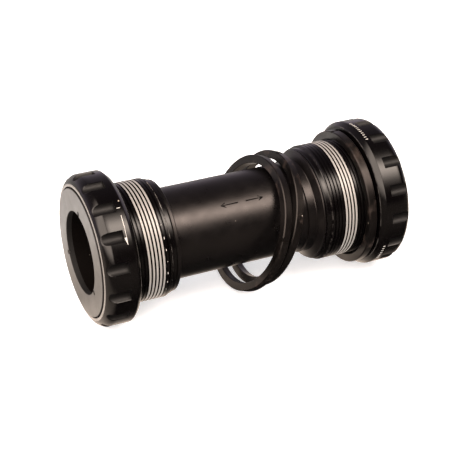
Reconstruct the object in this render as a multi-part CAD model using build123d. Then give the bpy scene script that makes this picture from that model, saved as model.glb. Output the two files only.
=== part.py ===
from build123d import *
import math
import os

# External-cup bottom bracket with its inner sleeve and three shell spacers, set down on its two flanges.
# The crank spindle's axis is Y: left cup at +Y, drive-side cup at -Y. X is forwards and Z is up.
# The origin is on that axis, midway between the outer faces of the two dust caps. Lengths in millimetres.
# A cup's own sizes are given along "depth": the distance in from the face of its dust cap.

os.makedirs("parts", exist_ok=True)

LEFT = 1
RIGHT = -1
HALF_LENGTH = 47.85

# flange of a cup, gripped by a sixteen-notch spanner
FLANGE_R = 22.0
FLANGE_FRONT = 0.35
FLANGE_RECESS_R = 18.9
FLANGE_FACE_R = 19.35
NOSE_MID = (1.15, 20.85)
NOSE_END = 3.15
LAND_END = 9.2
FLANGE_BACK = 10.5
BACK_R = 20.7
SHELL_SEAT_R = 17.6
UNDERCUT = 0.2
NOTCH_COUNT = 16
NOTCH_R = 1.75
NOTCH_DEPTH = 1.35
NOTCH_END = 7.15
NOTCH_ANGLE = {LEFT: 14.0, RIGHT: 3.3}

# threaded barrel of a cup, 1.37 inch by 24 threads per inch
THREAD_R = 17.4
THREAD_PITCH = 25.4 / 24
GROOVE_MOUTH = 0.46
GROOVE_DEPTH = 0.36
THREAD_START = 11.4
THREAD_STOP = {LEFT: 21.1, RIGHT: 24.3}
FIRST_GROOVE = {LEFT: 12.71, RIGHT: 12.86}
GROOVES = {LEFT: 8, RIGHT: 11}
RELIEF_R = 16.8
BARREL_END = {LEFT: 22.8, RIGHT: 26.1}
BARREL_NOSE_R = 16.85
BARREL_BORE_R = 15.6

# cartridge bearing, 25 x 37 x 7
BEARING_FRONT = 1.6
BEARING_WIDTH = 7.0
BEARING_BACK = BEARING_FRONT + BEARING_WIDTH
BEARING_MID = BEARING_FRONT + BEARING_WIDTH / 2
BEARING_OUT_R = 18.5
BEARING_IN_R = 12.5
INNER_RACE_R = 14.5
OUTER_RACE_R = 16.5
BALL_R = 1.5
BALL_COUNT = 22
PITCH_R = 15.5
RACEWAY_R = 1.56
SEAL_SEAT_R = 16.9
SEAL_THICK = 0.5
CAGE_HALF_WIDTH = 2.3
CAGE_HALF_THICK = 0.55
POCKET_R = 1.6
PRESS_GAP = 0.01

# dust cap and 24 mm bush, which turn with the spindle
SPINDLE_R = 12.0
CAP_R = 18.55
CAP_BACK = 1.2
CAP_ROUND = 0.2
CAP_BOSS_R = 14.0
CAP_TICK_ANGLE = 87.0
BUSH_R = BEARING_IN_R - PRESS_GAP
BUSH_LIP_R = 12.9
BUSH_END = 9.2

# lip seal behind each bearing
BACK_SEAL_FRONT = 9.6
BACK_SEAL_END = 10.8
BACK_SEAL_LIP_R = 12.25

# inner sleeve, a moulded tube whose ends plug into the barrels
TUBE_R = 13.45
TUBE_BORE_R = 12.6
PLUG_R = 15.2
PLUG_LENGTH = 9.0
PLUG_BORE_R = 13.8
RIM_R = 16.45
RIM_GAP = 0.05
RIM_WIDTH = {LEFT: 1.2, RIGHT: 0.55}
RIM_CONE = {LEFT: 0.8, RIGHT: 1.1}
COLLAR_R = 13.95
COLLAR_LENGTH = 2.5
O_RING_R = 0.7
O_RING_CENTRE_R = 14.85
O_RING_INSET = 3.2

# shell spacers
SPACER_R = 20.3
SPACER_BORE_R = 17.8
SPACER_WIDTH = 2.5
SPACER_EDGE = 0.25
SPACER_NICK = 0.35
FLOOR = -FLANGE_R


def place(side, depth):
    """Y of a point that far in from the face of one side's dust cap."""
    return side * (HALF_LENGTH - depth)


def turned(side, steps):
    """Solid of revolution about Y. A step is (depth, radius), or (middle point, end point) for an arc."""
    edges = []
    here = None
    for step in steps + steps[:1]:
        curved = isinstance(step[0], tuple)
        goal = step[1] if curved else step
        end = (goal[1], place(side, goal[0]))
        if curved:
            mid = (step[0][1], place(side, step[0][0]))
            edges.append(ThreePointArc(here, mid, end))
        elif here is not None:
            edges.append(Line(here, end))
        here = end
    return revolve(make_face(edges), Axis.Y, 360)


def around(angle, radius, y):
    """Point at an elevation measured up from -X."""
    a = math.radians(angle)
    return Vector(-radius * math.cos(a), y, radius * math.sin(a))


def save(name, shape):
    shape.label = name
    export_step(shape, "parts/" + name + ".step")


def thread_outline(side):
    """Barrel outline from the flange to the nose, with one sixty-degree groove per turn."""
    points = [(THREAD_START - 0.45, RELIEF_R), (THREAD_START, THREAD_R)]
    root = GROOVE_MOUTH / 2 - GROOVE_DEPTH * math.tan(math.radians(30))
    for turn in range(GROOVES[side]):
        centre = FIRST_GROOVE[side] + THREAD_PITCH * turn
        points.append((centre - GROOVE_MOUTH / 2, THREAD_R))
        points.append((centre - root, THREAD_R - GROOVE_DEPTH))
        points.append((centre + root, THREAD_R - GROOVE_DEPTH))
        points.append((centre + GROOVE_MOUTH / 2, THREAD_R))
    points.append((THREAD_STOP[side], THREAD_R))
    points.append((THREAD_STOP[side] + 0.35, BARREL_NOSE_R))
    return points


def make_cup(side):
    end = BARREL_END[side]
    outline = [(FLANGE_FRONT, FLANGE_RECESS_R + 0.05), (FLANGE_FRONT, FLANGE_FACE_R)]
    outline += [(NOSE_MID, (NOSE_END, FLANGE_R))]
    outline += [(LAND_END, FLANGE_R), (FLANGE_BACK, BACK_R), (FLANGE_BACK, SHELL_SEAT_R)]
    outline += [(FLANGE_BACK - UNDERCUT, SHELL_SEAT_R), (FLANGE_BACK - UNDERCUT, RELIEF_R)]
    outline += thread_outline(side)
    outline += [(end - 0.4, BARREL_NOSE_R), (end, BARREL_NOSE_R - 0.4), (end, BARREL_BORE_R + 0.3)]
    outline += [(end - 0.3, BARREL_BORE_R), (BEARING_BACK, BARREL_BORE_R)]
    outline += [(BEARING_BACK, BEARING_OUT_R), (BEARING_FRONT, BEARING_OUT_R)]
    outline += [(BEARING_FRONT - 0.3, FLANGE_RECESS_R), (FLANGE_FRONT + 0.05, FLANGE_RECESS_R)]
    cup = turned(side, outline)
    centre_r = FLANGE_R - NOTCH_DEPTH + NOTCH_R
    length = NOTCH_END + 1.0
    cutters = []
    for k in range(NOTCH_COUNT):
        angle = NOTCH_ANGLE[side] + k * 360 / NOTCH_COUNT
        spot = around(angle, centre_r, place(side, NOTCH_END - length / 2))
        cutters.append(Pos(spot.X, spot.Y, spot.Z) * Rot(90, 0, 0) * Cylinder(NOTCH_R, length))
    return cup - cutters


def make_outer_race(side):
    reach = math.sqrt(RACEWAY_R**2 - (PITCH_R - OUTER_RACE_R)**2)
    seat = SEAL_THICK + 0.05
    out_r = BEARING_OUT_R - PRESS_GAP
    return turned(side, [
        (BEARING_FRONT + 0.4, out_r), (BEARING_BACK - 0.4, out_r), (BEARING_BACK, out_r - 0.4),
        (BEARING_BACK, SEAL_SEAT_R), (BEARING_BACK - seat, SEAL_SEAT_R),
        (BEARING_BACK - seat, OUTER_RACE_R), (BEARING_MID + reach, OUTER_RACE_R),
        ((BEARING_MID, PITCH_R + RACEWAY_R), (BEARING_MID - reach, OUTER_RACE_R)),
        (BEARING_FRONT + seat, OUTER_RACE_R), (BEARING_FRONT + seat, SEAL_SEAT_R),
        (BEARING_FRONT, SEAL_SEAT_R), (BEARING_FRONT, out_r - 0.4)])


def make_inner_race(side):
    reach = math.sqrt(RACEWAY_R**2 - (PITCH_R - INNER_RACE_R)**2)
    return turned(side, [
        (BEARING_FRONT, BEARING_IN_R + 0.25), (BEARING_FRONT, INNER_RACE_R),
        (BEARING_MID - reach, INNER_RACE_R),
        ((BEARING_MID, PITCH_R - RACEWAY_R), (BEARING_MID + reach, INNER_RACE_R)),
        (BEARING_BACK, INNER_RACE_R), (BEARING_BACK, BEARING_IN_R + 0.25),
        (BEARING_BACK - 0.25, BEARING_IN_R),
        (BEARING_FRONT + 0.25, BEARING_IN_R)])


def make_balls(side):
    balls = []
    for k in range(BALL_COUNT):
        spot = around(k * 360 / BALL_COUNT, PITCH_R, place(side, BEARING_MID))
        balls.append(Pos(spot.X, spot.Y, spot.Z) * Sphere(BALL_R))
    return Compound(children=balls)


def make_cage(side):
    cage = turned(side, [
        (BEARING_MID - CAGE_HALF_WIDTH, PITCH_R - CAGE_HALF_THICK),
        (BEARING_MID - CAGE_HALF_WIDTH, PITCH_R + CAGE_HALF_THICK),
        (BEARING_MID + CAGE_HALF_WIDTH, PITCH_R + CAGE_HALF_THICK),
        (BEARING_MID + CAGE_HALF_WIDTH, PITCH_R - CAGE_HALF_THICK)])
    pockets = []
    for k in range(BALL_COUNT):
        angle = k * 360 / BALL_COUNT
        spot = around(angle, PITCH_R, place(side, BEARING_MID))
        drill = Cylinder(POCKET_R, 4 * CAGE_HALF_THICK)
        pockets.append(Pos(spot.X, spot.Y, spot.Z) * Rot(0, angle - 90, 0) * drill)
    return cage - pockets


def make_bearing_seal(side, front):
    """Thin shield with a stiffening bead on its outer face, pressed into the outer race."""
    outward = 1 if front == BEARING_FRONT else -1
    face = front + 0.03 if outward == 1 else front - 0.03
    inner = face + outward * (SEAL_THICK - 0.02)
    return turned(side, [
        (face, INNER_RACE_R + 0.12), (face, 15.1),
        (face + outward * 0.15, 15.3), (face + outward * 0.15, 16.3),
        (face, 16.5), (face, SEAL_SEAT_R - PRESS_GAP), (inner, SEAL_SEAT_R - PRESS_GAP),
        (inner, INNER_RACE_R + 0.12)])


def make_cap(side):
    bulge = CAP_ROUND * (1 - math.sqrt(0.5))
    cap = turned(side, [
        (CAP_ROUND, SPINDLE_R), ((bulge, SPINDLE_R + bulge), (0, SPINDLE_R + CAP_ROUND)),
        (0, CAP_R - CAP_ROUND), ((bulge, CAP_R - bulge), (CAP_ROUND, CAP_R)),
        (CAP_BACK, CAP_R), (CAP_BACK, CAP_BOSS_R),
        (BEARING_FRONT - 0.02, CAP_BOSS_R), (BEARING_FRONT - 0.02, SPINDLE_R)])
    slots = []
    for k in range(3):
        angle = CAP_TICK_ANGLE + 120 * k
        spot = around(angle, SPINDLE_R + 0.75, place(side, 0))
        slots.append(Pos(spot.X, spot.Y, spot.Z) * Rot(0, angle, 0) * Box(1.7, 1.0, 0.55))
    return cap - slots


def make_bush(side):
    return turned(side, [
        (BEARING_FRONT, SPINDLE_R), (BEARING_FRONT, BUSH_R), (BEARING_BACK + 0.05, BUSH_R),
        (BEARING_BACK + 0.15, BUSH_LIP_R), (BUSH_END - 0.15, BUSH_LIP_R), (BUSH_END, BUSH_LIP_R - 0.25),
        (BUSH_END, SPINDLE_R)])


def make_back_seal(side):
    out_r = BARREL_BORE_R - PRESS_GAP
    return turned(side, [
        (BACK_SEAL_FRONT, 14.7), (BACK_SEAL_FRONT, out_r), (BACK_SEAL_END, out_r), (BACK_SEAL_END, 14.4),
        (BACK_SEAL_END - 0.4, 14.0), (BACK_SEAL_END - 0.4, 13.0), (BACK_SEAL_END, BACK_SEAL_LIP_R),
        (BACK_SEAL_END - 0.3, BACK_SEAL_LIP_R), (BACK_SEAL_END - 0.9, 13.0), (BACK_SEAL_END - 0.9, 14.2)])


def sleeve_end(side):
    """One end of the sleeve: grooved plug, rim against the barrel and the cone down to the tube."""
    rim = BARREL_END[side] + RIM_GAP
    tip = rim - PLUG_LENGTH
    ring = tip + O_RING_INSET
    rim_back = rim + RIM_WIDTH[side]
    cone_end = rim_back + RIM_CONE[side]
    low = COLLAR_R if side == RIGHT else TUBE_R
    outline = [
        (tip, PLUG_BORE_R), (tip, PLUG_R - 0.4), (tip + 0.4, PLUG_R), (ring - 0.85, PLUG_R),
        (ring - 0.85, O_RING_CENTRE_R - O_RING_R - 0.02), (ring + 0.85, O_RING_CENTRE_R - O_RING_R - 0.02),
        (ring + 0.85, PLUG_R), (rim, PLUG_R), (rim, RIM_R - 0.15), (rim + 0.15, RIM_R),
        (rim_back - 0.3, RIM_R), ((rim_back - 0.09, RIM_R - 0.09), (rim_back, RIM_R - 0.3)),
        (cone_end, low + 0.1), (cone_end + 0.15, low)]
    if side == RIGHT:
        outline += [(cone_end + COLLAR_LENGTH, low), (cone_end + COLLAR_LENGTH + 0.2, TUBE_R)]
    outline += [(HALF_LENGTH, TUBE_R), (HALF_LENGTH, TUBE_BORE_R)]
    outline += [(rim, TUBE_BORE_R), (rim - 1.2, PLUG_BORE_R)]
    return turned(side, outline)


def make_o_ring(side):
    depth = BARREL_END[side] + RIM_GAP - PLUG_LENGTH + O_RING_INSET
    return Pos(0, place(side, depth), 0) * Rot(90, 0, 0) * Torus(O_RING_CENTRE_R, O_RING_R)


def make_spacer(nick_angle):
    """Spacer centred on the origin with its axis on Y and a moulding nick in its rim."""
    half = SPACER_WIDTH / 2
    outline = [
        (SPACER_BORE_R, -half + 0.15), (SPACER_BORE_R + 0.15, -half), (SPACER_R - SPACER_EDGE, -half),
        (SPACER_R, -half + SPACER_EDGE), (SPACER_R, half - SPACER_EDGE), (SPACER_R - SPACER_EDGE, half),
        (SPACER_BORE_R + 0.15, half), (SPACER_BORE_R, half - 0.15)]
    ring = revolve(make_face(Polyline(*outline, close=True)), Axis.Y, 360)
    spot = around(nick_angle, SPACER_R, 0)
    return ring - Pos(spot.X, spot.Y, spot.Z) * Rot(0, nick_angle, 0) * Box(2 * SPACER_NICK, 4, 1.1)


def leaning_spacer(x, y, lean, turn, nick_angle):
    """Spacer standing on the floor, its top leaning towards the drive side against the tube."""
    tilt = math.radians(lean)
    height = FLOOR + SPACER_R * math.cos(tilt) + (SPACER_WIDTH / 2 - SPACER_EDGE) * math.sin(tilt)
    return Pos(x, y, height) * Rot(0, 0, turn) * Rot(lean, 0, 0) * make_spacer(nick_angle)


for side, name in ((LEFT, "left"), (RIGHT, "right")):
    save(name + "_cup", make_cup(side))
    save(name + "_bearing_outer_race", make_outer_race(side))
    save(name + "_bearing_inner_race", make_inner_race(side))
    save(name + "_bearing_balls", make_balls(side))
    save(name + "_bearing_cage", make_cage(side))
    save(name + "_bearing_outer_seal", make_bearing_seal(side, BEARING_FRONT))
    save(name + "_bearing_inner_seal", make_bearing_seal(side, BEARING_BACK))
    save(name + "_dust_cap", make_cap(side))
    save(name + "_spindle_bush", make_bush(side))
    save(name + "_back_seal", make_back_seal(side))
    save(name + "_sleeve_o_ring", make_o_ring(side))

save("centre_sleeve", sleeve_end(LEFT) + sleeve_end(RIGHT))

# the spacer on the drive-side barrel hangs from the thread, a little off the flange
HANG = SPACER_BORE_R - THREAD_R - 0.05
SPACER_DEPTH = FLANGE_BACK + 0.8
save("right_cup_spacer", Pos(0, place(RIGHT, SPACER_DEPTH + SPACER_WIDTH / 2), -HANG) * make_spacer(104))
save("loose_spacer_a", leaning_spacer(-0.2, -4.6, 19.4, 2.5, 12))
save("loose_spacer_b", leaning_spacer(1.2, -9.7, 19.8, -0.4, 97))
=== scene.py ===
import math

import bmesh
import bpy
import numpy as np
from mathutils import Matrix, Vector


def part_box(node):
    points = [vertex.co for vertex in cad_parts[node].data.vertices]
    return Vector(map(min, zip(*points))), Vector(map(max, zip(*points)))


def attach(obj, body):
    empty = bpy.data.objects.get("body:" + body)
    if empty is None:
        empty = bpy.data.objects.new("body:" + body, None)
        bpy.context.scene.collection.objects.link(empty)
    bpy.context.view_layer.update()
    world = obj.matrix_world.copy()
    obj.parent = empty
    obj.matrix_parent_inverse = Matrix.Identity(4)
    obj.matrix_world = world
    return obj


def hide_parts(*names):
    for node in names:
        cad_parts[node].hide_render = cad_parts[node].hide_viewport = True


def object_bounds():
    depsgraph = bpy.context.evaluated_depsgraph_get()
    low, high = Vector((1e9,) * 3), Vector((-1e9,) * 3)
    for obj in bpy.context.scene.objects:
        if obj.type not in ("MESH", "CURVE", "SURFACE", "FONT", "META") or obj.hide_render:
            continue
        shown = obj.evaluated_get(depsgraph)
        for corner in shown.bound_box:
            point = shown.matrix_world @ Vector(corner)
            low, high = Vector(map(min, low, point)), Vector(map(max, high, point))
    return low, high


# Looks for the external-cup bottom bracket. The frame is in metres. The cups' own sizes are written in
# millimetres: a "depth" is the distance in from the dust cap's face, and a radius is taken from the
# spindle's axis, which is Y. ring_points() turns them into metres. Angles are in degrees above -X.

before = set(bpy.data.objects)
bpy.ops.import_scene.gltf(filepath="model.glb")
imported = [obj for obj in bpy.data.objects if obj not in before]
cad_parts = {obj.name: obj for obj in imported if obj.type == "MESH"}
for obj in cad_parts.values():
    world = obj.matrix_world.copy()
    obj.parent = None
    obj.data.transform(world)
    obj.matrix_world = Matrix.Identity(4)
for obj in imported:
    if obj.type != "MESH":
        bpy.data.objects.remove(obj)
CAD_LOW, CAD_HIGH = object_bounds()
MM = 0.001
LEFT, RIGHT = 1, -1
SIDES = ((LEFT, "left"), (RIGHT, "right"))

# ---------------------------------------------------------------- sizes of the cups, in mm
# The prints stand PRINT_HALF proud of the flanges, which are that much smaller than the CAD's, so that
# nothing passes the CAD's own size. HALF_LENGTH is the Y of the left dust cap's face.
PRINT_HALF = 0.01
FLANGE_R = (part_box("left_cup")[1].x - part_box("left_cup")[0].x) / 2 / MM - PRINT_HALF
HALF_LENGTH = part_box("left_dust_cap")[1].y / MM
BARREL_END = {s: HALF_LENGTH - min(abs(c.y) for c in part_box(n + "_cup")) / MM for s, n in SIDES}
# the flange, from its face round the nose and the notched rim to its back
FLANGE_FRONT = 0.35
RECESS_R = 18.9
FACE_R = 19.35
NOSE_MID = (1.15, 20.85)
NOSE_END = 3.15
LAND_END = 9.2
FLANGE_BACK = 10.5
BACK_R = 20.7
SHELL_SEAT_R = 17.6
SEAT_SINK = 0.2
RELIEF_R = 16.8
# the notches for the tool, milled to depth NOTCH_END with a cutter of radius NOTCH_R
NOTCH_COUNT = 16
NOTCH_STEP = 360 / NOTCH_COUNT
NOTCH_R = 1.75
NOTCH_DEPTH = 1.35
NOTCH_END = 7.15
NOTCH_SOFT = 0.14
# how far past the flange a floor is put where there is no notch, and how far it lifts past its end
NOTCH_NONE = 9
NOTCH_CLEAR = 6.0
NOTCH_ANGLE = {LEFT: 14.0, RIGHT: 3.3}
# the thread; a crest stands at depth CREST_AT and angle CREST_ANGLE
THREAD_R = 17.4
PITCH = 25.4 / 24
THREAD_START = 11.4
THREAD_STOP = {LEFT: 21.1, RIGHT: 24.3}
START_CHAMFER = 0.45
STOP_CHAMFER = 0.35
GROOVE_DEPTH = 0.42
GROOVE_FLAT = 0.02
CREST_SOFT = 0.05
FLANK_ANGLE = 30
CREST_AT = {LEFT: 14.3, RIGHT: 17.62}
CREST_ANGLE = 27.3
# depths between which the crests are bare metal
BAND = {LEFT: (13.85, 18.85), RIGHT: (16.15, 20.25)}
# the barrel's plain end and the bore
NOSE_R = 16.85
BORE_R = 15.6
BEARING_FRONT = 1.6
BEARING_BACK = 8.6
BEARING_R = 18.5
# the dust cap's bore and outer edge and its three moulding dimples beside the bore, where shade is painted
# black
CAP_BORE_R = 12.0
CAP_EDGE_R = 18.5
DIMPLE_COUNT = 3
DIMPLE_ANGLE = 87.0
DIMPLE_AT = 12.7

# ---------------------------------------------------------------- how meshes are made
# welding distances in metres, and in degrees the sharpest smooth edge and the step along a curved strip
CUP_WELD = 2e-7
PRINT_WELD = 1e-8
CREASE_ANGLE = 30
STRIP_STEP = 1.5
# points round the flange's nose
NOSE_POINTS = 18


# ---------------------------------------------------------------- mesh helpers
def new_object(name, mesh):
    """An object with that mesh, linked to the scene."""
    ob = bpy.data.objects.new(name, mesh)
    bpy.context.scene.collection.objects.link(ob)
    return ob


def smooth(mesh, angle):
    """Smooth shading, with edges sharper than that many degrees kept."""
    mesh.shade_smooth()
    mesh.set_sharp_from_angle(angle=math.radians(angle))


def grid_faces(rows, cols):
    """Quads of a rows x cols grid of vertices, open in both directions."""
    i = np.arange(rows - 1)[:, None] * cols + np.arange(cols - 1)[None, :]
    return np.stack([i, i + 1, i + cols + 1, i + cols], -1).reshape(-1, 4)


def weld(name, parts, flip, dist):
    """One mesh from several (points, faces) parts, with points closer than dist metres welded."""
    points, faces, n = [], [], 0
    for p, f in parts:
        p = p.reshape(-1, 3)
        points.append(p)
        faces.append(f + n)
        n += len(p)
    mesh = bpy.data.meshes.new(name)
    faces = np.concatenate(faces)
    if flip:
        faces = faces[:, ::-1]
    mesh.from_pydata(np.concatenate(points).tolist(), [], faces.tolist())
    bm = bmesh.new()
    bm.from_mesh(mesh)
    bmesh.ops.remove_doubles(bm, verts=bm.verts, dist=dist)
    bmesh.ops.dissolve_degenerate(bm, dist=dist, edges=bm.edges)
    bm.to_mesh(mesh)
    bm.free()
    return mesh


def circle_through(a, b, c):
    """(centre depth, centre radius, own radius) of the circle through three (depth, radius) points."""
    ax, ay, bx, by, cx, cy = *a, *b, *c
    d = 2 * (ax * (by - cy) + bx * (cy - ay) + cx * (ay - by))
    ux = ((ax**2 + ay**2) * (by - cy) + (bx**2 + by**2) * (cy - ay) + (cx**2 + cy**2) * (ay - by)) / d
    uy = ((ax**2 + ay**2) * (cx - bx) + (bx**2 + by**2) * (ax - cx) + (cx**2 + cy**2) * (bx - ax)) / d
    return ux, uy, math.hypot(ax - ux, ay - uy)


def arc_through(a, b, c, count):
    """Points after a, up to c, on the circle through three points."""
    ux, uy, r = circle_through(a, b, c)
    t0 = math.atan2(a[1] - uy, a[0] - ux)
    t1 = math.atan2(c[1] - uy, c[0] - ux)
    steps = [t0 + (t1 - t0) * k / count for k in range(1, count + 1)]
    return [(ux + r * math.cos(t), uy + r * math.sin(t)) for t in steps]


def soft_min(a, b, k):
    """The smaller of two arrays, rounded over a width k where they cross."""
    h = np.clip(0.5 + 0.5 * (b - a) / k, 0, 1)
    return b * (1 - h) + a * h - k * h * (1 - h)


# ---------------------------------------------------------------- the cups
def notch_angles(side):
    """Angles round the flange in degrees above -X, closer together at the edges of the notches."""
    near = [0, 1.3, 2.4, 3.2, 3.7, 4.0, 4.2, 4.35, 4.5, 4.7, 5.1, 5.9, 7.2, 9.2]
    offsets = [-o for o in near[:0:-1]] + near + [NOTCH_STEP / 2]
    angles = [NOTCH_ANGLE[side] + k * NOTCH_STEP + o for k in range(NOTCH_COUNT) for o in offsets]
    return np.array(angles + [angles[0] + 360])


def notch_floor(side, angles):
    """Radius of the notches' cylindrical floors at each angle, and far out between them."""
    off = np.radians((angles - NOTCH_ANGLE[side] + NOTCH_STEP / 2) % NOTCH_STEP - NOTCH_STEP / 2)
    centre = FLANGE_R - NOTCH_DEPTH + NOTCH_R
    across = np.clip(1 - (centre * np.sin(off) / NOTCH_R) ** 2, 0, None)
    floor = centre * np.cos(off) - NOTCH_R * np.sqrt(across)
    return np.where(across > 0, floor, FLANGE_R + NOTCH_NONE)


def ring_points(side, angles, depth, radius):
    """Points in metres round one cup, at each angle's depth and radius."""
    a = np.radians(angles)
    depth, radius = np.broadcast_to(depth, a.shape), np.broadcast_to(radius, a.shape)
    y = side * (HALF_LENGTH - depth)
    return np.stack([-radius * np.cos(a), y, radius * np.sin(a)], -1) * MM


def thread_radius(side, depth, angles):
    """Radius of the threaded barrel: a crest, a sixty-degree groove and a chamfer at each end."""
    turn = (angles - CREST_ANGLE) / 360
    phase = ((depth - CREST_AT[side]) / PITCH + turn) % 1.0
    off = np.abs(phase - 0.5) * PITCH
    rise = np.clip(off - GROOVE_FLAT, 0, None) / math.tan(math.radians(FLANK_ANGLE))
    flank = THREAD_R - GROOVE_DEPTH + rise
    r = soft_min(np.full_like(flank, THREAD_R), flank, CREST_SOFT)
    r = np.maximum(r, THREAD_R - GROOVE_DEPTH)
    start = RELIEF_R + (depth - THREAD_START + START_CHAMFER) * (THREAD_R - RELIEF_R) / START_CHAMFER
    stop = NOSE_R + (THREAD_STOP[side] + STOP_CHAMFER - depth) * (THREAD_R - NOSE_R) / STOP_CHAMFER
    return np.minimum(r, np.minimum(start, stop))


def thread_grid(side, angles):
    """The barrel between its chamfers, in rows that follow the helix and stop at both ends."""
    low, high = THREAD_START - START_CHAMFER, THREAD_STOP[side] + STOP_CHAMFER
    within = [-0.27, -0.235, -0.2, -0.03, 0.03, 0.2, 0.235, 0.27, 0.40, 0.529, 0.658]
    first = math.floor((low - CREST_AT[side]) / PITCH) - 2
    last = math.ceil((high - CREST_AT[side]) / PITCH) + 2
    rows = []
    for k in range(first, last):
        for w in within:
            helix = CREST_AT[side] + (k + 0.5) * PITCH + w - (angles - CREST_ANGLE) / 360 * PITCH
            depth = np.clip(helix, low, high)
            rows.append(ring_points(side, angles, depth, thread_radius(side, depth, angles)))
    return np.array(rows), grid_faces(len(rows), len(angles))


def cup_mesh(side, name):
    """One cup, turned about Y: the notched flange, the thread and the hollow inside."""
    angles = notch_angles(side)
    floor = notch_floor(side, angles)
    outer = [(FLANGE_FRONT, RECESS_R + 0.05), (FLANGE_FRONT, FACE_R)]
    outer += arc_through((FLANGE_FRONT, FACE_R), NOSE_MID, (NOSE_END, FLANGE_R), NOSE_POINTS)
    # close together where the notches run out
    land = (4.2, 5.4, 6.4, 6.9, 7.0, 7.06, 7.12, 7.18, 7.24, 7.32, 7.45, 7.8, 8.4)
    outer += [(d, FLANGE_R) for d in land]
    bevel_start = ((-0.25, 0), (-0.08, -0.03), (0.08, -0.12))
    outer += [(LAND_END + d, FLANGE_R + r) for d, r in bevel_start]
    bevel_stop = ((-0.2, 0.2), (-0.06, 0.04), (0, -0.12))
    outer += [(FLANGE_BACK + d, BACK_R + r) for d, r in bevel_stop]
    seat = FLANGE_BACK - SEAT_SINK
    outer += [(FLANGE_BACK, 19.0), (FLANGE_BACK, SHELL_SEAT_R + 0.05), (seat, SHELL_SEAT_R)]
    outer += [(seat, RELIEF_R), (THREAD_START - START_CHAMFER, RELIEF_R)]
    rows = []
    for depth, radius in outer:
        lift = NOTCH_CLEAR * min(max((depth - NOTCH_END + 0.08) / 0.16, 0), 1)
        if depth < NOTCH_END + 0.1:
            radius = soft_min(np.full(len(angles), radius), floor + lift, NOTCH_SOFT)
        rows.append(ring_points(side, angles, depth, radius))
    end = BARREL_END[side]
    end_round = ((-0.4, 0), (-0.3, -0.03), (-0.05, -0.3), (0, -0.4))
    inner = [(THREAD_STOP[side] + STOP_CHAMFER, NOSE_R)] + [(end + d, NOSE_R + r) for d, r in end_round]
    inner += [(end, BORE_R + 0.3), (end - 0.3, BORE_R), (end - 4, BORE_R)]
    inner += [(BEARING_BACK, BORE_R), (BEARING_BACK, BEARING_R), (BEARING_FRONT, BEARING_R)]
    inner += [(BEARING_FRONT - 0.3, RECESS_R)]
    inner += [(FLANGE_FRONT + 0.05, RECESS_R), (FLANGE_FRONT, RECESS_R + 0.05)]
    back = [ring_points(side, angles, d, r) for d, r in inner]
    cols = len(angles)
    parts = [(np.array(rows), grid_faces(len(rows), cols)), thread_grid(side, angles)]
    parts.append((np.array(back), grid_faces(len(back), cols)))
    mesh = weld(name, parts, side == LEFT, CUP_WELD)
    smooth(mesh, CREASE_ANGLE)
    return mesh


# ---------------------------------------------------------------- printed marks
def strip(radius, start, end, width, end_width=None):
    """Thin raised strip on a cylinder about Y, between two (degrees above -X, y in mm) points."""
    a0, y0, a1, y1 = math.radians(start[0]), start[1], math.radians(end[0]), end[1]
    length = math.hypot((a1 - a0) * radius, y1 - y0)
    count = max(2, int(abs(end[0] - start[0]) / STRIP_STEP) + 2)
    t = np.linspace(0, 1, count)
    half = (width + ((width if end_width is None else end_width) - width) * t) / 2
    da, dy = (y1 - y0) / length / radius, -(a1 - a0) * radius / length
    corners = []
    for edge, lift in ((1, -PRINT_HALF), (1, PRINT_HALF), (-1, PRINT_HALF), (-1, -PRINT_HALF)):
        a = a0 + (a1 - a0) * t + edge * half * da
        y = y0 + (y1 - y0) * t + edge * half * dy
        corners.append(np.stack([-(radius + lift) * np.cos(a), y, (radius + lift) * np.sin(a)], -1) * MM)
    points = np.stack(corners, 1).reshape(-1, 3)
    faces = [[4 * i + j, 4 * i + (j + 1) % 4, 4 * i + 4 + (j + 1) % 4, 4 * i + 4 + j]
             for i in range(count - 1) for j in range(4)]
    last = 4 * (count - 1)
    faces += [[3, 2, 1, 0], [last, last + 1, last + 2, last + 3]]
    return points, np.array(faces)


def arrow(radius, tail, tip, width, head, head_width, one_sided=False):
    """Arrow along the circumference or along Y. A one-sided head lies to one side of the shaft."""
    da, dy = tip[0] - tail[0], tip[1] - tail[1]
    run = math.hypot(math.radians(da) * radius, dy)
    lean = head_width / 2 if one_sided else 0
    base = (tip[0] - da / run * head + math.degrees(dy / run * lean / radius),
            tip[1] - dy / run * head - math.radians(da) * radius / run * lean)
    return [strip(radius, tail, tip, width, width / 2), strip(radius, base, tip, head_width, width / 2)]


def dashes(radius, y, first, last, gap, width, length):
    """Row of short strips round the circumference, gap degrees apart."""
    count = int((last - first) / gap)
    return [strip(radius, (first + k * gap, y - length / 2), (first + k * gap, y + length / 2), width)
            for k in range(count + 1)]


# ---------------------------------------------------------------- materials
# how strongly the painted highlights on the edges show, and how metallic the bare band is
EDGE_HIGHLIGHT = {LEFT: 0.6, RIGHT: 0.12}
BARE_METALLIC = 0.45


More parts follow.
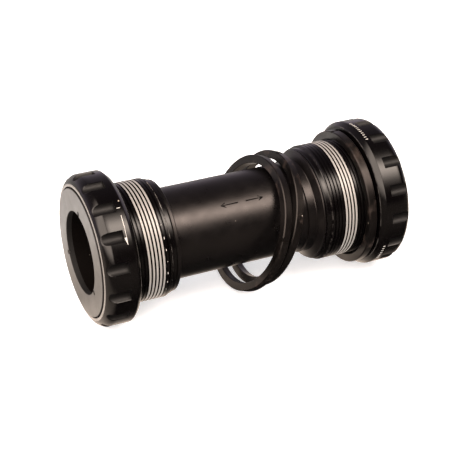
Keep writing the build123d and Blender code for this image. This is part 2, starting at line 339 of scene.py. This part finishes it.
class Nodes:
    """A material's node tree, with short ways to add the nodes used here."""

    def __init__(self, owner, coord="Object"):
        self.mat = owner
        owner.use_nodes = True
        self.tree = owner.node_tree
        self.bsdf = self.tree.nodes.get("Principled BSDF")
        self.coord = self.tree.nodes.new("ShaderNodeTexCoord").outputs[coord]

    def add(self, kind, inputs=None, **props):
        n = self.tree.nodes.new("ShaderNode" + kind)
        for k, v in props.items():
            setattr(n, k, v)
        for k, v in (inputs or {}).items():
            self.put(n.inputs[k], v)
        return n

    def put(self, socket, value):
        """Link a socket to a value that comes from a node, or set it."""
        if isinstance(value, bpy.types.NodeSocket):
            self.tree.links.new(value, socket)
        elif isinstance(value, (tuple, list)) and len(value) == 3 and socket.type == "RGBA":
            socket.default_value = (*value, 1)
        else:
            socket.default_value = value

    def set(self, **values):
        """Inputs of the surface shader, by name."""
        for k, v in values.items():
            self.put(self.bsdf.inputs[k.replace("_", " ")], v)

    def math(self, op, a, b=0.0, c=0.0):
        return self.add("Math", {0: a, 1: b, 2: c}, operation=op).outputs[0]

    def times(self, first, *others):
        """Product of several values."""
        for other in others:
            first = self.math("MULTIPLY", first, other)
        return first

    def within(self, value, low, high, soft):
        """1 between low and high, fading to 0 over soft to both sides."""
        rise = self.ramp(value, low - soft, low + soft)
        return self.times(rise, self.ramp(value, high + soft, high - soft))

    def length(self, vector):
        return self.add("VectorMath", {0: vector}, operation="LENGTH").outputs["Value"]

    def scaled(self, vector, factor):
        return self.add("VectorMath", {0: vector, 3: factor}, operation="SCALE").outputs[0]

    def noise(self, scale, detail=3, rough=0.55, stretch=None, offset=0.0):
        vec = self.coord
        if stretch or offset:
            vec = self.add("Mapping", {0: vec, 1: (offset,) * 3, 3: stretch or (1, 1, 1)}).outputs[0]
        n = self.add("TexNoise", {"Vector": vec, "Scale": scale, "Detail": detail, "Roughness": rough})
        return n.outputs["Fac"]

    def ramp(self, fac, low, high, to_low=0.0, to_high=1.0):
        n = self.add("MapRange", {0: fac, 1: low, 2: high, 3: to_low, 4: to_high}, clamp=True)
        return n.outputs[0]

    def mix(self, fac, a, b):
        n = self.add("Mix", {0: fac}, data_type="RGBA")
        self.put(n.inputs[6], a)
        self.put(n.inputs[7], b)
        return n.outputs[2]

    def specks(self, scale, size, share):
        """1 on small round spots in a share of the cells of a grid, 0 elsewhere."""
        v = self.add("TexVoronoi", {"Vector": self.coord, "Scale": scale})
        near = self.ramp(v.outputs["Distance"], size, size * 0.5)
        pick = self.add("SeparateColor", {0: v.outputs["Color"]}).outputs[0]
        return self.math("MULTIPLY", near, self.math("GREATER_THAN", pick, 1 - share))

    def bump(self, height, strength, distance):
        return self.add("Bump", {"Height": height, "Strength": strength, "Distance": distance}).outputs[0]

    def parts(self):
        """The coordinate's three parts."""
        return self.add("SeparateXYZ", {0: self.coord}).outputs

    def off_axis(self):
        """The coordinate without its part along the spindle's axis, in metres."""
        x, _, z = self.parts()
        return self.add("CombineXYZ", {0: x, 2: z}).outputs[0]

    def radius_mm(self):
        """Distance from the spindle's axis, in millimetres."""
        return self.math("MULTIPLY", self.length(self.off_axis()), 1 / MM)


def material(name):
    return Nodes(bpy.data.materials.new(name))


def anodised(side):
    """Gloss black anodising with a band of the thread's crests turned back to bare metal."""
    m = material("anodised_cup_" + ("left" if side == LEFT else "right"))
    radius = m.radius_mm()
    depth = m.math("MULTIPLY_ADD", m.math("ABSOLUTE", m.parts()[1]), -1 / MM, HALF_LENGTH)
    cloud = m.noise(60, 4)
    black = m.mix(cloud, (0.0006, 0.0004, 0.0005), (0.0016, 0.0012, 0.0013))
    ragged = m.math("ADD", depth, m.math("MULTIPLY_ADD", m.noise(260, 2), 0.5, -0.25))
    crest = m.ramp(radius, THREAD_R - 0.07, THREAD_R - 0.02)
    bare = m.times(m.within(ragged, *BAND[side], 0.04), crest)
    # painted highlights on edges: on the chamfer that ends the thread and the rim of the flange's back
    # bevel, broken into patches by noise, and whole on the lip between the flange's face and the gap round
    # the cap
    patchy = m.ramp(m.noise(420, 3), 0.42, 0.62)
    chamfer = m.times(m.ramp(depth, THREAD_STOP[side] - 0.03, THREAD_STOP[side] + 0.02),
                      m.ramp(radius, NOSE_R + 0.05, NOSE_R + 0.3))
    rim = m.times(m.ramp(depth, FLANGE_BACK - 0.14, FLANGE_BACK - 0.1),
                  m.ramp(radius, BACK_R - 0.2, BACK_R - 0.1))
    lip = m.times(m.ramp(depth, FLANGE_FRONT + 0.14, FLANGE_FRONT + 0.07),
                  m.ramp(radius, RECESS_R - 0.02, RECESS_R + 0.02))
    painted_highlight = m.math("MAXIMUM", m.times(m.math("MAXIMUM", chamfer, rim), patchy), lip)
    black = m.mix(m.specks(300, 0.09, 0.05), black, (0.42, 0.36, 0.30))
    # painted highlight: the black of these edges is lightened to pale grey, more on the left cup
    black = m.mix(m.times(painted_highlight, EDGE_HIGHLIGHT[side]), black, (0.30, 0.28, 0.26))
    grain = m.noise(500, 3, 0.6, (1, 6, 1))
    metal = m.mix(grain, (0.27, 0.262, 0.248), (0.41, 0.4, 0.382))
    m.set(Base_Color=m.mix(bare, black, metal))
    # the notches are milled after polishing, so their floors are duller than the rest; a floor is what
    # lies well inside the nose's own round profile
    centre, base, arc = circle_through((FLANGE_FRONT, FACE_R), NOSE_MID, (NOSE_END, FLANGE_R))
    along = m.math("ABSOLUTE", m.math("SUBTRACT", m.math("MINIMUM", depth, NOSE_END), centre))
    height = m.math("SQRT", m.math("SUBTRACT", arc**2, m.math("POWER", along, 2.0)))
    sunk = m.ramp(m.math("SUBTRACT", m.math("ADD", height, base), radius), 0.1, 0.22)
    rim_only = m.times(m.ramp(depth, NOTCH_END + 0.3, NOTCH_END + 0.1), m.ramp(radius, 20.3, 20.5))
    polish = m.mix(cloud, (0.13, 0.13, 0.13), (0.2, 0.2, 0.2))
    roughness = m.mix(m.times(sunk, rim_only), polish, (0.52, 0.52, 0.52))
    m.set(Roughness=m.mix(bare, roughness, (0.5, 0.5, 0.5)))
    m.set(Normal=m.bump(m.noise(1400, 3, 0.6), 0.08, 0.00004), Metallic=m.times(bare, BARE_METALLIC))
    m.set(IOR=1.4)
    return m.mat


def plastic(name, dark, light, rough, dust=0.03, ior=1.46, scuffs=0.0, tint=(1, 1, 1)):
    """Moulded plastic or rubber, clouded between two colours, with a share of dust specks and scuffs."""
    m = material(name)
    scuffed = m.times(m.ramp(m.noise(190, 5, 0.65, None, 3.0), 0.54, 0.66), scuffs)
    colour = m.mix(scuffed, m.mix(m.noise(90, 4), dark, light), (0.075, 0.055, 0.047))
    m.set(Base_Color=m.mix(m.specks(420, 0.08, dust), colour, (0.34, 0.30, 0.27)))
    m.set(Roughness=m.ramp(m.noise(240, 4), 0.3, 0.7, rough - 0.05, rough + 0.06))
    m.set(Normal=m.bump(m.noise(900, 3, 0.6), 0.12, 0.00005))
    m.set(Specular_Tint=tint, IOR=ior)
    return m.mat


def cap_plastic():
    """Satin plastic, with shade painted black on the bore's wall, the cap's outer edge and the three
    moulding dimples beside the bore.
    """
    mat = plastic("cap_plastic", (0.072, 0.07, 0.066), (0.1, 0.096, 0.09), 0.38, dust=0.02)
    m = Nodes(mat)
    radius, flat = m.radius_mm(), m.off_axis()
    # painted shade: black on the bore's wall and the edge round the cap, and on the dimples below
    black = m.math("MAXIMUM", m.ramp(radius, CAP_BORE_R + 0.16, CAP_BORE_R + 0.06),
                   m.ramp(radius, CAP_EDGE_R - 0.1, CAP_EDGE_R))
    for k in range(DIMPLE_COUNT):
        a = math.radians(DIMPLE_ANGLE + 360 / DIMPLE_COUNT * k)
        spot = (-DIMPLE_AT * math.cos(a) * MM, 0, DIMPLE_AT * math.sin(a) * MM)
        away = m.add("VectorMath", {0: flat, 1: spot}, operation="DISTANCE").outputs["Value"]
        black = m.math("MAXIMUM", black, m.ramp(away, 0.85 * MM, 0.6 * MM))
    base = m.bsdf.inputs["Base Color"].links[0].from_socket
    m.set(Base_Color=m.mix(black, base, (0.002, 0.0018, 0.0018)))
    rough = m.bsdf.inputs["Roughness"].links[0].from_socket
    m.set(Roughness=m.math("MULTIPLY_ADD", black, 0.3, rough))
    return mat


def steel(name, low, high, rough):
    """Ground steel, grained round the spindle's axis."""
    m = material(name)
    rings = m.noise(700, 3, 0.6, (1, 5, 1))
    m.set(Base_Color=m.mix(m.noise(200, 3), low, high))
    m.set(Roughness=m.ramp(rings, 0.3, 0.7, rough - 0.05, rough + 0.08))
    m.set(Normal=m.bump(rings, 0.08, 0.00003))
    m.set(Metallic=1.0)
    return m.mat


# looks by the name of the CAD's own material slots
FINISHES = {
    "sleeve_plastic": plastic("sleeve_plastic", (0.0008, 0.0007, 0.0008), (0.0025, 0.002, 0.0021), 0.31,
                              tint=(1.0, 0.92, 0.9)),
    "cap_plastic": cap_plastic(),
    "bush_plastic": plastic("bush_plastic", (0.0015, 0.0012, 0.0011), (0.004, 0.003, 0.0026), 0.5, ior=1.12),
    "spacer_plastic": plastic("spacer_plastic", (0.0006, 0.0005, 0.0005), (0.003, 0.0024, 0.0022), 0.31,
                              dust=0.14, ior=1.37, scuffs=0.3, tint=(1.0, 0.9, 0.86)),
    "seal_rubber": plastic("seal_rubber", (0.004, 0.0038, 0.0038), (0.009, 0.0085, 0.0085), 0.6),
    "o_ring_rubber": plastic("o_ring_rubber", (0.008, 0.008, 0.008), (0.016, 0.015, 0.015), 0.5),
    "cage_nylon": plastic("cage_nylon", (0.22, 0.13, 0.06), (0.34, 0.21, 0.11), 0.45),
    "bearing_steel": steel("bearing_steel", (0.50, 0.50, 0.51), (0.62, 0.62, 0.63), 0.3),
    "ball_steel": steel("ball_steel", (0.70, 0.70, 0.71), (0.80, 0.80, 0.81), 0.08),
}

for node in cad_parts.values():
    for slot in node.material_slots:
        named = slot.material.name.split(".")[0] if slot.material else ""
        if named in FINISHES:
            slot.material = FINISHES[named]

for side, name in SIDES:
    cup = new_object(name + "_cup_detailed", cup_mesh(side, name + "_cup_detailed"))
    cup.data.materials.append(anodised(side))
    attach(cup, name + "_cup_body")
    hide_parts(name + "_cup")


def printed(name, parts, body, paint):
    """Piece made of thin strips, riding on a body."""
    ob = new_object(name, weld(name, parts, False, PRINT_WELD))
    ob.data.materials.append(paint)
    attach(ob, body)


white_print = plastic("white_print", (0.38, 0.37, 0.35), (0.52, 0.50, 0.47), 0.5, dust=0.0)
dark_print = plastic("dark_print", (0.0008, 0.0007, 0.0007), (0.0014, 0.0012, 0.0012), 0.6,
                     dust=0.0, ior=1.15)

# an arrow and a tick on the left flange
LEFT_PRINT_Y = HALF_LENGTH - 7.9
FINE_LINE = 0.19
marks = arrow(FLANGE_R, (51.5, LEFT_PRINT_Y), (30.0, LEFT_PRINT_Y + 0.2), FINE_LINE,
              head=2.0, head_width=0.7, one_sided=True)
marks += [strip(FLANGE_R, (57.5, LEFT_PRINT_Y - 0.5), (57.5, LEFT_PRINT_Y + 0.5), FINE_LINE)]
# chips in the anodising on the first dark crest after the left band
CHIP_COUNT = 7
CHIP_FIRST, CHIP_STEP = 41.0, 11.5
CHIPPED_CREST = CREST_AT[LEFT] + 5 * PITCH
for k in range(CHIP_COUNT):
    at = CHIP_FIRST - CHIP_STEP * k
    y = HALF_LENGTH - (CHIPPED_CREST - (at - CREST_ANGLE) / 360 * PITCH)
    run = 0.9 + 0.8 * (2 * k % 3)
    marks.append(strip(THREAD_R, (at, y + 0.14), (at - run, y + 0.1), 0.1 + 0.05 * (k % 3), 0.16))
printed("left_cup_print", marks, "left_cup_body", white_print)

# two rows of dashes on the drive-side flange
RIGHT_PRINT_Y = 8.4 - HALF_LENGTH
marks = dashes(FLANGE_R, RIGHT_PRINT_Y, first=72, last=98, gap=2.6, width=0.3, length=0.75)
marks += dashes(FLANGE_R, RIGHT_PRINT_Y, first=-39, last=-22, gap=2.8, width=0.3, length=0.75)
printed("right_cup_print", marks, "right_cup_body", white_print)

# two arrows along the sleeve, one to each cup
TUBE_R = 13.45
TUBE_ANGLE = 50.0
marks = []
for tail, tip in ((3.0, 8.4), (0.6, -4.8)):
    marks += arrow(TUBE_R, (TUBE_ANGLE, tail), (TUBE_ANGLE, tip), width=0.42, head=1.5, head_width=1.7)
printed("sleeve_print", marks, "sleeve", dark_print)


# ---------------------------------------------------------------- floor, light and camera
FLOOR_SEEN = (0.80, 0.84, 0.90)
FLOOR_SELF = 0.5
FLOOR_WARM = (1.0, 0.82, 0.68)
FLOOR_NEUTRAL = (1.0, 0.93, 0.88)
# painted glow: how bright the floor looks in reflections, by its distance behind the spindle's axis in
# metres
GLOW_TOP = 1.7
FLOOR_GLOW = (
    (-0.075, 0.25), (-0.048, 0.17), (-0.036, 0.06), (-0.029, 0.02), (-0.0207, 0.03), (-0.0172, 0.1),
    (-0.0143, 0.42), (-0.0116, 0.85), (-0.009, 1.5), (0.003, 1.35),
    (0.011, 0.4), (0.022, 0.85), (0.05, 1.7), (0.075, 1.5), (0.11, 0.6))
SLEEVE_SHADE = 0.0115
BEYOND_LEFT_GLOW = 0.55
FLOOR_SIZE = 6.0


def floor_material():
    """Pale to look at. The black parts mirror a glow painted on it by position: a painted reflection of a
    table lit from behind, with painted shade under their front.
    """
    m = material("pale_floor")
    x, y, _ = m.parts()
    # the painted shade under the sleeve reaches further back than under the cups, and the floor beyond the
    # left cup, which only that cup's face and nose mirror, has a painted glow of its own
    under_sleeve = m.times(m.ramp(y, 0.024, 0.016), m.ramp(y, -0.034, -0.027))
    beyond_left = m.times(m.ramp(y, 0.046, 0.054), m.ramp(x, 0.0, -0.008), m.ramp(x, -0.052, -0.036))
    x = m.math("MULTIPLY_ADD", under_sleeve, -SLEEVE_SHADE, x)
    m.set(Roughness=0.9, Emission_Color=(1.0, 1.0, 1.0), Emission_Strength=FLOOR_SELF)
    m.set(Specular_IOR_Level=0.0)
    m.set(Base_Color=m.mix(m.noise(3, 2), FLOOR_SEEN, tuple(1.01 * c for c in FLOOR_SEEN)))
    low, high = FLOOR_GLOW[0][0], FLOOR_GLOW[-1][0]
    ramp = m.add("ValToRGB", {0: m.ramp(x, low, high)})
    stops = ramp.color_ramp.elements
    while len(stops) < len(FLOOR_GLOW):
        stops.new(0.5)
    for stop, (at, glow) in zip(stops, FLOOR_GLOW):
        stop.position = (at - low) / (high - low)
        stop.color = (*(glow / GLOW_TOP,) * 3, 1)
    level = m.mix(beyond_left, ramp.outputs[0], (BEYOND_LEFT_GLOW,) * 3)
    tint = m.mix(m.ramp(x, 0.02, 0.05), FLOOR_WARM, FLOOR_NEUTRAL)
    tinted = m.add("VectorMath", {0: level, 1: tint}, operation="MULTIPLY").outputs[0]
    # painted glow: glossy rays see this painted reflection and painted shade in place of the lit floor
    glow = m.add("Emission", {0: tinted, 1: GLOW_TOP}).outputs[0]
    glossy = m.add("LightPath").outputs["Is Glossy Ray"]
    both = m.add("MixShader", {0: glossy, 1: m.bsdf.outputs[0], 2: glow}).outputs[0]
    m.put(m.tree.nodes["Material Output"].inputs[0], both)
    return m.mat


def floor_mesh():
    mesh = bpy.data.meshes.new("floor")
    corners = [(x * FLOOR_SIZE, y * FLOOR_SIZE, CAD_LOW.z) for x, y in ((-1, -1), (1, -1), (1, 1), (-1, 1))]
    mesh.from_pydata(corners, [], [(0, 1, 2, 3)])
    return mesh


floor = new_object("floor", floor_mesh())
floor.data.materials.append(floor_material())

# the key light stands at KEY_ANGLE above -X and falls off over so many degrees below and above that
KEY_ANGLE = 57.5
KEY_LOWER, KEY_UPPER = 15.5, 13.0
KEY_LIGHT = 13.5
SIDE_LIGHT = 6.5
KEY_TINT = (1.0, 0.85, 0.74)
BACKDROP_LIGHT = 0.85
BACKDROP_FALL = 2.4
BACKDROP_TINT = (1.0, 0.86, 0.99)


def room():
    """A dark room with a long soft key light over the front, a side light and a pale backdrop."""
    world = bpy.data.worlds.new("room")
    bpy.context.scene.world = world
    m = Nodes(world, "Generated")
    x, y, z = m.parts()
    angle = m.math("MULTIPLY", m.math("ARCTAN2", z, m.math("MULTIPLY", x, -1.0)), 180 / math.pi)
    off = m.math("SUBTRACT", angle, KEY_ANGLE)
    below = m.math("MULTIPLY", m.math("MINIMUM", off, 0.0), 1 / KEY_LOWER)
    above = m.math("MULTIPLY", m.math("MAXIMUM", off, 0.0), 1 / KEY_UPPER)
    spread = m.math("ADD", m.math("POWER", m.math("ABSOLUTE", below), 2.0), m.math("POWER", above, 2.0))
    across = m.math("EXPONENT", m.math("MULTIPLY", spread, -1.0))
    lengthways = m.times(m.ramp(y, -0.72, -0.58), m.ramp(y, 0.1, -0.24))
    key = m.times(across, lengthways, KEY_LIGHT)
    side = m.times(m.ramp(y, 0.0, 0.3), m.ramp(z, 0.08, 0.34), m.ramp(x, 0.3, 0.0))
    key = m.math("ADD", key, m.math("MULTIPLY", side, SIDE_LIGHT))
    rise = m.math("EXPONENT", m.math("MULTIPLY", m.math("MAXIMUM", z, 0.0), -BACKDROP_FALL))
    backdrop = m.times(rise, m.ramp(x, -0.25, 0.4, 0.03, 1.0), BACKDROP_LIGHT)
    lit = m.add("VectorMath", {0: m.scaled(KEY_TINT, key), 1: m.scaled(BACKDROP_TINT, backdrop)}).outputs[0]
    # the camera sees plain white beyond the floor
    seen = m.add("LightPath").outputs["Is Camera Ray"]
    m.put(m.tree.nodes["Background"].inputs[0], m.mix(seen, lit, (1.0, 1.0, 1.0)))
    world.cycles.sampling_method = "MANUAL"
    world.cycles.sample_map_resolution = 512


room()


def aim(ob, target, back, distance):
    """Put an object at a distance from a target and turn it to face the target."""
    ob.location = target + back * distance
    ob.rotation_mode = "QUATERNION"
    ob.rotation_quaternion = back.to_track_quat("Z", "Y")


def overhead():
    """Large soft light above, which doesn't show in reflections."""
    data = bpy.data.lights.new("overhead", "AREA")
    data.shape = "RECTANGLE"
    data.size, data.size_y = 1.0, 1.0
    data.energy = 5
    data.color = (1.0, 0.99, 0.98)
    ob = bpy.data.objects.new("overhead", data)
    bpy.context.scene.collection.objects.link(ob)
    aim(ob, Vector((0, 0, 0)), Vector((0.35, 0.15, 1.0)).normalized(), 1.2)
    ob.visible_glossy = False


overhead()

# the camera, at the photo's viewing angle
AZIMUTH, ELEVATION = 245.47, 29.57
SENSOR_MM, LENS_MM = 36, 99.9
DISTANCE = 0.3675
TARGET = Vector((0.0003, 0.0030, -0.0017))
a, e = math.radians(AZIMUTH), math.radians(ELEVATION)
back = Vector((math.sin(a) * math.cos(e), -math.cos(a) * math.cos(e), math.sin(e)))
camera = bpy.data.objects.new("camera", bpy.data.cameras.new("camera"))
bpy.context.scene.collection.objects.link(camera)
camera.data.sensor_width = SENSOR_MM
camera.data.lens = LENS_MM
aim(camera, TARGET, back, DISTANCE)
bpy.context.scene.camera = camera

view = bpy.context.scene.view_settings
view.view_transform = "Standard"
view.look = "None"
